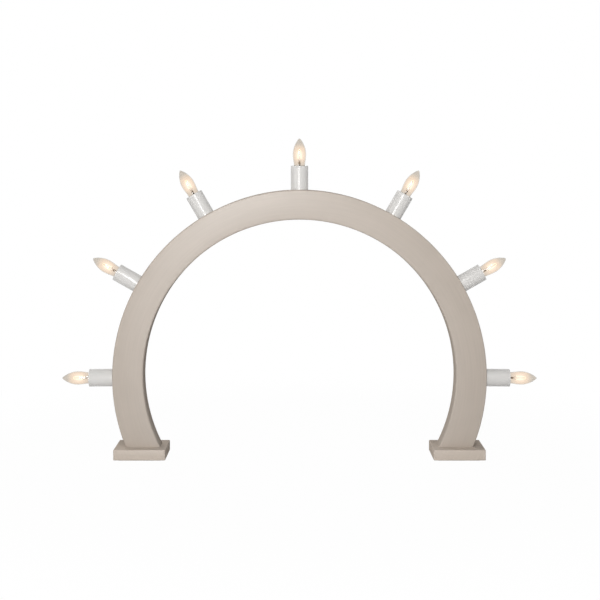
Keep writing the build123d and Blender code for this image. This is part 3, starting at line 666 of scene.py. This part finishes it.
def bulb_glass(name, rim=0.0, bloom=0.0):
    """Clear glass, with the filament's light painted into it as a peach tint round the filament,
    painted shade at its rim, and the filament's bloom as light the glass itself gives off.
    """
    size = bpy.context.scene.bulb_sizes
    finishes = bpy.context.scene.finishes
    material, nodes, shader = new_material(name)
    polar = nodes.add("ShaderNodeGroup", node_tree=group("polar_place"))
    outer_radius = bpy.context.scene.arch_sizes.outer_radius
    height = nodes.math("SUBTRACT", polar.outputs["Radius"], outer_radius)
    along = nodes.spread(height, (size.painted_light_foot, size.tip_height), (0.0, 1.0))
    # The filament's light is painted into the glass's colour here as a peach tint
    clear, painted_light_tint = tuple(finishes.glass), tuple(finishes.painted_filament_light)
    first, last = PAINTED_LIGHT_SPAN
    tint = nodes.ramp(along, [(0.0, clear), (first, painted_light_tint), (last, painted_light_tint), (CLEAR_TIP, clear)])
    facing = nodes.facing()
    # Painted shade: the glass's colour is darkened towards its rim
    if rim:
        shade = nodes.math("MULTIPLY", nodes.math("POWER", facing, RIM_PAINTED_SHADE_POWER), -rim)
        tint = nodes.scaled(tint, nodes.math("ADD", shade, 1.0))
    # Painted light: the glass's inner wall emits the bloom round the filament
    if bloom:
        lit = nodes.ramp(along, [(place, (level,) * 3) for place, level in BLOOM_STOPS])
        middle = nodes.math("POWER", nodes.math("SUBTRACT", 1.0, facing), BLOOM_POWER)
        nodes.fill(
            shader, {"Emission Color": nodes.scaled(lit, middle), "Emission Strength": bloom}
        )
    nodes.fill(
        shader, {"Base Color": tint, "Roughness": 0.0, "IOR": GLASS_IOR, "Transmission Weight": 1.0}
    )
    return material


def glowing_filament():
    """The hot filament, a little darker between the turns of its coil."""
    finishes = bpy.context.scene.finishes
    material, nodes, shader = new_material("hot_filament")
    polar = nodes.add("ShaderNodeGroup", node_tree=group("polar_place"))
    turns = 2 * pi / bpy.context.scene.bulb_sizes.coil_pitch
    coil = nodes.math("SINE", nodes.math("MULTIPLY", polar.outputs["Radius"], turns))
    level = nodes.math("MULTIPLY_ADD", coil, COIL_SWING, COIL_LEVEL)
    nodes.fill(shader, {
        "Emission Color": nodes.scaled(tuple(finishes.light), level),
        "Emission Strength": finishes.heat,
        "Base Color": (*finishes.filament, 1),
        "Roughness": 0.5,
    })
    return material


class CANDLEARCH_OT_wood(bpy.types.Operator):
    """Makes the bent wooden arch, with its wire channel and the rebate of the strip over it"""

    bl_idname = "candle_arch.wood"
    bl_label = "Wooden arch"

    def execute(self, context):
        arch = context.scene.arch_sizes
        back = context.scene.back_sizes
        half = arch.thickness / 2
        inner, outer = arch.inner_radius, arch.outer_radius
        corners = [(inner, -half), (outer, -half), (outer, half), (inner, half)]
        bm = bmesh.new()
        start = radians(LOWEST_ANGLE)
        line = chain(bm, [arch_point(r, start, y) for r, y in corners], closed=True)
        bmesh.ops.spin(
            bm, geom=line, cent=arch_centre(), axis=(0, -1, 0), angle=pi - 2 * start,
            steps=180 - 2 * LOWEST_ANGLE,
        )
        middle = (inner + outer) / 2
        low = [v for v in bm.verts if Vector((v.co.x, v.co.z - arch_centre().z)).length < middle]
        bmesh.ops.translate(bm, verts=low, vec=(0, 0, arch.crown_raise))
        soften(bm, sharp_edges(bm, 60), arch.edge_rounding, segments=6)
        foot_top = arch.felt_thickness + arch.foot_height
        bmesh.ops.bisect_plane(
            bm, geom=bm.verts[:] + bm.edges[:] + bm.faces[:], dist=MERGE,
            plane_co=(0, 0, foot_top), plane_no=(0, 0, 1), clear_inner=True,
        )
        bmesh.ops.holes_fill(bm, edges=[e for e in bm.edges if e.is_boundary])
        rim = [e for e in sharp_edges(bm) if all(v.co.z < foot_top + MERGE for v in e.verts)]
        soften(bm, rim, arch.end_chamfer, segments=1)
        clean(bm)
        rebate = back.cover_width + back.cover_gap * 2
        outside = half + MM
        last = light_angle(LIGHTS[0])
        for width, past, depth in (
            (rebate, back.cover_past, back.cover_thickness),
            (back.channel_width, back.channel_past, back.channel_depth),
        ):
            ends, depths = (back.start, last + past), (outside, half - depth)
            bm = carve(bm, ribbon(back.channel_radius, width, ends, depths))
        tone = paint("satin_paint", context.scene.finishes.paint)
        finish_piece(bm, "wood_arch", [tone], ARCH_BODY, ["arch"])
        return {"FINISHED"}


class CANDLEARCH_OT_feet(bpy.types.Operator):
    """Makes the two foot blocks and the felt under them"""

    bl_idname = "candle_arch.feet"
    bl_label = "Foot blocks"

    def execute(self, context):
        arch = context.scene.arch_sizes
        outside = (arch.outer_radius**2 - arch.centre_rise**2) ** 0.5
        inner_rise = arch.centre_rise + arch.crown_raise
        inside = (arch.inner_radius**2 - inner_rise**2) ** 0.5
        middle = (outside + inside) / 2 + arch.foot_shift
        # Painted light: the blocks take a lighter copy of the arch's paint
        tone = paint("block_paint", context.scene.finishes.block_paint)
        felt = coat("felt", context.scene.finishes.felt, 0.95, drift=0.2, drift_scale=500.0,
                    peel_scale=3000.0, peel=0.8, distance=0.0002, specular=0.2)
        trim = arch.felt_inset * 2
        for side, name in ((-1, "left"), (1, "right")):
            size = Vector((arch.foot_length, arch.foot_depth, arch.foot_height))
            block = slab(size, arch.foot_corner, 6, arch.foot_edge, 5)
            height = arch.felt_thickness + arch.foot_height / 2
            bmesh.ops.translate(block, verts=block.verts, vec=(side * middle, 0, height))
            finish_piece(
                block, f"{name}_block", [tone], ARCH_BODY, [f"{name}_foot"]
            )
            size = Vector((size.x - trim, size.y - trim, arch.felt_thickness))
            pad = slab(size, arch.felt_corner, 8, arch.felt_edge, 3)
            height = arch.felt_thickness / 2
            bmesh.ops.translate(pad, verts=pad.verts, vec=(side * middle, 0, height))
            piece = finish_piece(
                pad, f"{name}_felt", [felt], ARCH_BODY, [f"{name}_felt_pad"]
            )
        dress(["foot_screws"], steel())
        return {"FINISHED"}


class CANDLEARCH_OT_back(bpy.types.Operator):
    """Makes the strip over the wire channel and the cable bushing"""

    bl_idname = "candle_arch.back"
    bl_label = "Back strip and bushing"

    def execute(self, context):
        arch = context.scene.arch_sizes
        back = context.scene.back_sizes
        finishes = context.scene.finishes
        half = arch.thickness / 2
        ends = (back.start, light_angle(LIGHTS[0]) + back.cover_past)
        strip = ribbon(
            back.channel_radius, back.cover_width, ends, (half, half - back.cover_thickness)
        )
        rim = [e for e in sharp_edges(strip) if all(v.co.y > half - MERGE for v in e.verts)]
        soften(strip, rim, back.cover_edge, segments=3)
        board = coat("hardboard", finishes.board, 0.6, drift=0.25, drift_scale=700.0,
                     peel_scale=2500.0, peel=0.4, distance=0.0001)
        finish_piece(strip, "back_strip", [board], ARCH_BODY, ["back_cover"])

        barb = back.cover_thickness + back.bushing_barb_gap
        outline = [
            (back.bushing_bore, -back.bushing_stand), (back.bushing_flange, -back.bushing_stand),
            (back.bushing_flange, 0), (back.bushing_neck, 0), (back.bushing_neck, barb),
            (back.bushing_barb, barb), (back.bushing_body, barb + back.bushing_barb_height),
            (back.bushing_body, back.bushing_reach), (back.bushing_bore, back.bushing_reach),
        ]
        bush = turned(outline, steps=72, closed=True)
        rim = [
            e for e in sharp_edges(bush)
            if all(v.co.z < MERGE - back.bushing_stand for v in e.verts)
        ]
        soften(bush, rim, back.bushing_rim, segments=5)
        centre = arch_point(back.channel_radius, back.start, half)
        facing = Matrix.Rotation(pi / 2, 4, "X")
        bmesh.ops.transform(bush, verts=bush.verts, matrix=Matrix.Translation(centre) @ facing)
        plastic = coat("bushing_plastic", finishes.bushing, 0.4)
        finish_piece(bush, "cable_bush", [plastic], ARCH_BODY,
                     ["cable_bushing"])
        dress(["cover_screws"], steel())
        return {"FINISHED"}


class CANDLEARCH_OT_sleeves(bpy.types.Operator):
    """Makes the seven candle sleeves"""

    bl_idname = "candle_arch.sleeves"
    bl_label = "Candle sleeves"

    def execute(self, context):
        size = context.scene.sleeve_sizes
        bore = size.radius - size.wall
        mouth = bore - size.lip
        plastic = coat("sleeve_plastic", context.scene.finishes.sleeve, 0.16, drift=0.02,
                       peel_scale=250.0, peel=0.02, distance=0.000005, specular=0.45)
        for number in LIGHTS:
            outline = [
                (size.radius, -size.seat_depth), (size.radius, size.stand),
                (mouth, size.stand), (mouth, size.stand - size.lip_height),
                (bore, size.stand - size.lip_height), (bore, -size.seat_depth),
            ]
            tube = turned(outline, steps=96, closed=True)
            low = size.stand - size.rounding
            rim = [e for e in sharp_edges(tube) if all(v.co.z > low for v in e.verts)]
            soften(tube, rim, size.rounding, segments=4)
            bmesh.ops.transform(tube, verts=tube.verts, matrix=place_of_light(number))
            finish_piece(
                tube, f"sleeve_{number}", [plastic], ARCH_BODY,
                [f"candle_sleeve_{number}"],
            )
        return {"FINISHED"}


class CANDLEARCH_OT_holders(bpy.types.Operator):
    """Finishes the lampholders, their contacts and the wiring"""

    bl_idname = "candle_arch.holders"
    bl_label = "Lampholders and wiring"

    def execute(self, context):
        finishes = context.scene.finishes
        dress([f"lampholder_{n}" for n in LIGHTS], coat("holder_plastic", finishes.holder, 0.35))
        dress([f"screw_shell_{n}" for n in LIGHTS] + ["centre_contacts"], brass())
        dress(["series_wiring"], coat("wire_insulation", finishes.insulation, 0.45))
        return {"FINISHED"}


def glass_outline(size, inset, foot):
    """Radii and heights of the bulb's glass, drawn in by an inset, from its tip to its foot."""
    tip = size.tip_height - inset
    waist, shoulder = size.waist_height, size.shoulder_height
    rim = size.rim_height + inset
    wide = size.waist_radius - inset
    narrow = size.shoulder_radius - inset
    rim_radius = size.rim_radius - inset
    flank, fall = waist - shoulder, shoulder - rim
    curves = [
        (
            (0, tip), (wide * size.tip_width, tip),
            (wide, waist + (tip - waist) * size.tip_bend), (wide, waist), 20,
        ),
        (
            (wide, waist), (wide, waist - flank * size.waist_bend),
            (narrow, shoulder + flank * size.shoulder_bend), (narrow, shoulder), 10,
        ),
        (
            (narrow, shoulder), (narrow, shoulder - fall * size.foot_bend),
            (rim_radius + (narrow - rim_radius) * size.rim_bend, rim), (rim_radius, rim), 8,
        ),
    ]
    points = []
    for start, first, second, end, count in curves:
        ends = [Vector((*p, 0)) for p in (start, first, second, end)]
        points += [(p.x, p.y) for p in interpolate_bezier(*ends, count)][1 if points else 0:]
    neck = size.neck_radius - inset
    return points + [(neck, rim), (neck, foot)]


def threaded_cap(size):
    """The screw cap: a rounded thread, a plain skirt and a floor."""
    samples = 12
    pitch = size.thread_pitch
    start = size.thread_foot - pitch * 1.5
    count = int((size.thread_top - start) / pitch * samples) + samples * 2
    line = []
    for n in range(count):
        height = start + pitch * n / samples
        swing = cos(2 * pi * height / pitch)
        line.append((size.thread_radius + size.thread_throw * swing, height))
    bm = bmesh.new()
    edge = chain(bm, [(r, 0, z) for r, z in line], closed=False)
    steps = 60
    bmesh.ops.spin(
        bm, geom=edge, cent=(0, 0, 0), axis=(0, 0, 1), angle=2 * pi, steps=steps,
        dvec=(0, 0, pitch / steps),
    )
    bmesh.ops.remove_doubles(bm, verts=bm.verts, dist=MERGE)
    for height, up in ((size.thread_foot, True), (size.thread_top, False)):
        bmesh.ops.bisect_plane(
            bm, geom=bm.verts[:] + bm.edges[:] + bm.faces[:], dist=MERGE,
            plane_co=(0, 0, height), plane_no=(0, 0, 1), clear_inner=up, clear_outer=not up,
        )
    bmesh.ops.holes_fill(bm, edges=[e for e in bm.edges if e.is_boundary])
    clean(bm)
    bore = size.neck_radius + size.glass_wall / 4
    outline = [
        (size.skirt_radius, size.thread_top), (size.skirt_radius, size.cap_top),
        (bore, size.cap_top), (bore, size.thread_top),
    ]
    skirt = turned(outline, steps, closed=True)
    soften(skirt, sharp_edges(skirt), size.skirt_rounding, segments=2)
    add_shape(bm, skirt)
    return bm


def mount_and_filament(size):
    """The glass mount, its bead, the leads and hook, and the bent filament."""
    outline = [
        (0, size.mount_foot), (size.mount_flare, size.mount_foot),
        (size.mount_waist, size.mount_waist_height), (size.mount_top, size.bead_foot),
        (0, size.bead_foot),
    ]
    bm = turned(outline, steps=32, closed=False)
    outline = [
        (0, size.bead_foot), (size.bead_radius, size.bead_foot),
        (size.bead_radius, size.bead_top), (0, size.bead_top),
    ]
    bead = turned(outline, steps=32, closed=False)
    soften(bead, sharp_edges(bead), size.bead_rounding, segments=4)
    foot, top = size.filament_foot, size.filament_top
    leads = [
        wire(
            [
                (side * size.lead_offset, 0, size.bead_foot),
                (side * size.lead_offset, 0, size.bead_top),
                (side * size.lead_offset, 0, size.bead_top + size.lead_bend),
                (side * size.filament_spread, 0, foot - size.filament_gap),
            ],
            size.lead_radius,
        )
        for side in (-1, 1)
    ]
    hook_top = top - size.filament_radius - size.filament_gap
    hook = wire(
        [(0, 0, size.bead_foot), (0, 0, size.bead_top), (0, 0, hook_top)], size.hook_radius
    )
    corner = size.filament_crown / 2
    coil = wire(
        [
            (-size.filament_spread, 0, foot), (-size.filament_crown, 0, top - corner),
            (-size.filament_crown + corner, 0, top), (size.filament_crown - corner, 0, top),
            (size.filament_crown, 0, top - corner), (size.filament_spread, 0, foot),
        ],
        size.filament_radius,
    )
    for finish, shape in ((1, bead), (2, leads[0]), (2, leads[1]), (2, hook), (3, coil)):
        count = len(bm.faces)
        add_shape(bm, shape)
        bm.faces.ensure_lookup_table()
        for face in bm.faces[count:]:
            face.material_index = finish
    return bm


class CANDLEARCH_OT_bulbs(bpy.types.Operator):
    """Makes the seven bulbs: glass, cap, contact, mount and filament"""

    bl_idname = "candle_arch.bulbs"
    bl_label = "Bulbs"

    def execute(self, context):
        size = context.scene.bulb_sizes
        finishes = context.scene.finishes
        # The outside wall takes the painted shade at the rim; the inside wall gives off the
        # filament's bloom as light
        outside = bulb_glass("bulb_glass", rim=finishes.rim)
        inside = bulb_glass("bulb_glass_inside", bloom=finishes.bloom)
        plated = coat("cap_plating", finishes.cap, 0.28, metallic=1.0)
        filament = [
            bulb_glass("mount_glass"), coat("bead_glass", finishes.bead, 0.2),
            coat("lead_wire", finishes.lead, 0.35, metallic=1.0), glowing_filament(),
        ]
        for number in LIGHTS:
            pieces = (
                (self.glass(size), "glass", [outside, inside], "clear_glass", "bulb_glass"),
                (threaded_cap(size), "cap", [plated], "cap_brass", "bulb_cap"),
                (mount_and_filament(size), "filament", filament, "filament", "bulb_filament"),
            )
            for bm, name, materials, slot, node in pieces:
                bmesh.ops.transform(bm, verts=bm.verts, matrix=place_of_light(number))
                finish_piece(
                    bm, f"{name}_{number}", materials, f"bulb_{number}",
                    [f"{node}_{number}"],
                )
        dress([f"bulb_tip_{n}" for n in LIGHTS], coat("solder", finishes.solder, 0.4, metallic=1.0))
        return {"FINISHED"}

    def glass(self, size):
        """The blown glass; its inside wall has the second material."""
        outer = glass_outline(size, 0, size.neck_foot)
        inner = glass_outline(size, size.glass_wall, size.neck_foot)
        bm = turned(outer + inner[::-1], steps=64, closed=False)
        for face in bm.faces:
            centre = face.calc_center_median()
            toward = face.normal.dot(Vector((centre.x, centre.y, 0)))
            if toward < 0 or (centre.z > size.waist_height and face.normal.z < 0):
                face.material_index = 1
        return bm


SENSOR_WIDTH = 36  # mm
FARTHEST = 100  # metres that the camera sees
LAMPS = (  # name, place, what it is aimed at, width and height, in metres
    ("key", (-0.19, -1.5, 0.46), (-0.02, 0, 0.3), (0.33, 1.14)),
    ("front", (0.4, -1.3, 1.3), (0, 0, 0.2), (1.2, 1.2)),
    ("side", (-1.5, -0.5, 0.7), (0, 0, 0.15), (0.8, 0.8)),
    ("back", (-0.9, 1.2, 0.8), (0, 0, 0.15), (0.8, 0.8)),
)
GLOSSY_LAMP = "key"  # the only one that shows as a highlight


def seen_rays(nodes):
    """1 for rays from the camera, and for those that metal and glass pass on."""
    path = nodes.add("ShaderNodeLightPath")
    both = nodes.math("MAXIMUM", path.outputs["Is Camera Ray"], path.outputs["Is Glossy Ray"])
    return nodes.math("MAXIMUM", both, path.outputs["Is Transmission Ray"])


def floor_material(studio):
    """White to the camera, with the object's faint shadow, and pale grey to other rays."""
    material = bpy.data.materials.new("floor")
    material.use_nodes = True
    nodes = cleared(material.node_tree)
    place = nodes.add("ShaderNodeTexCoord").outputs["Object"]
    away = nodes.add("ShaderNodeVectorMath", {0: place}, operation="LENGTH").outputs["Value"]
    white_share = nodes.spread(
        away, (studio.shadow_near, studio.shadow_far), (studio.floor_white, 1.0), "SMOOTHSTEP"
    )
    seen = nodes.math("MULTIPLY", seen_rays(nodes), white_share)
    tone = studio.floor_tone
    matt = nodes.add("ShaderNodeBsdfDiffuse", {"Color": (tone, tone, tone, 1)})
    white = nodes.add("ShaderNodeEmission", {"Strength": 1.0})
    mixed = nodes.add("ShaderNodeMixShader", {0: seen, 1: matt.outputs[0], 2: white.outputs[0]})
    nodes.add("ShaderNodeOutputMaterial", {"Surface": mixed.outputs[0]})
    return material


def room(studio):
    """Plain white behind everything, and soft light from all sides."""
    world = bpy.data.worlds.new("room")
    world.use_nodes = True
    nodes = cleared(world.node_tree)
    soft, white = (
        nodes.add("ShaderNodeBackground", {"Color": (1, 1, 1, 1), "Strength": strength})
        for strength in (studio.fill, 1.0)
    )
    mixed = nodes.add(
        "ShaderNodeMixShader", {0: seen_rays(nodes), 1: soft.outputs[0], 2: white.outputs[0]}
    )
    nodes.add("ShaderNodeOutputWorld", {"Surface": mixed.outputs[0]})
    return world


class CANDLEARCH_OT_studio(bpy.types.Operator):
    """Makes the camera, the pale floor and the soft light"""

    bl_idname = "candle_arch.studio"
    bl_label = "Studio"

    def execute(self, context):
        scene = context.scene
        studio = scene.studio
        view = bpy.data.cameras.new("camera")
        view.lens = studio.lens
        view.sensor_width = SENSOR_WIDTH
        view.shift_x = studio.shift_x
        view.shift_y = studio.shift_y
        view.clip_end = FARTHEST
        camera = linked("camera", view)
        camera.location = (studio.camera_x, studio.camera_y, studio.camera_z)
        camera.rotation_euler = (pi / 2 - studio.pitch, 0, 0)
        scene.camera = camera

        bm = bmesh.new()
        bmesh.ops.create_grid(bm, x_segments=1, y_segments=1, size=studio.floor_size / 2)
        mesh = bpy.data.meshes.new("floor")
        bm.to_mesh(mesh)
        bm.free()
        floor = linked("floor", mesh)
        mesh.materials.append(floor_material(studio))
        scene.world = room(studio)

        for name, place, target, size in LAMPS:
            light = bpy.data.lights.new(name, "AREA")
            light.shape = "RECTANGLE"
            light.size, light.size_y = size
            light.energy = getattr(studio, f"{name}_power")
            lamp = linked(name, light)
            lamp.location = place
            toward = Vector(target) - lamp.location
            lamp.rotation_euler = toward.to_track_quat("-Z", "Y").to_euler()
            lamp.visible_glossy = name == GLOSSY_LAMP
            lamp.visible_transmission = False
        scene.view_settings.view_transform = "Standard"
        return {"FINISHED"}


OPERATORS = (
    CANDLEARCH_OT_studio,
    CANDLEARCH_OT_wood,
    CANDLEARCH_OT_feet,
    CANDLEARCH_OT_back,
    CANDLEARCH_OT_sleeves,
    CANDLEARCH_OT_holders,
    CANDLEARCH_OT_bulbs,
)


class CANDLEARCH_PT_panel(bpy.types.Panel):
    """Lists the steps and the sizes"""

    bl_idname = "CANDLEARCH_PT_panel"
    bl_label = "Candle arch"
    bl_space_type = "VIEW_3D"
    bl_region_type = "UI"
    bl_category = "Candle arch"

    def draw(self, context):
        for operator in OPERATORS:
            self.layout.operator(operator.bl_idname)
        for name in SETTINGS:
            box = self.layout.box()
            settings = getattr(context.scene, name)
            for key in settings.__annotations__:
                box.prop(settings, key)


SETTINGS = {
    "arch_sizes": ArchSizes,
    "back_sizes": BackSizes,
    "sleeve_sizes": SleeveSizes,
    "bulb_sizes": BulbSizes,
    "finishes": Finishes,
    "studio": Studio,
}


def register():
    for name, settings in SETTINGS.items():
        bpy.utils.register_class(settings)
        setattr(bpy.types.Scene, name, PointerProperty(type=settings))
    for kind in (*OPERATORS, CANDLEARCH_PT_panel):
        bpy.utils.register_class(kind)


def unregister():
    for kind in (CANDLEARCH_PT_panel, *reversed(OPERATORS)):
        bpy.utils.unregister_class(kind)
    for name, settings in reversed(SETTINGS.items()):
        delattr(bpy.types.Scene, name)
        bpy.utils.unregister_class(settings)


def main():
    register()
    for operator in OPERATORS:
        group_name, step = operator.bl_idname.split(".")
        getattr(getattr(bpy.ops, group_name), step)()


if __name__ == "__main__":
    main()
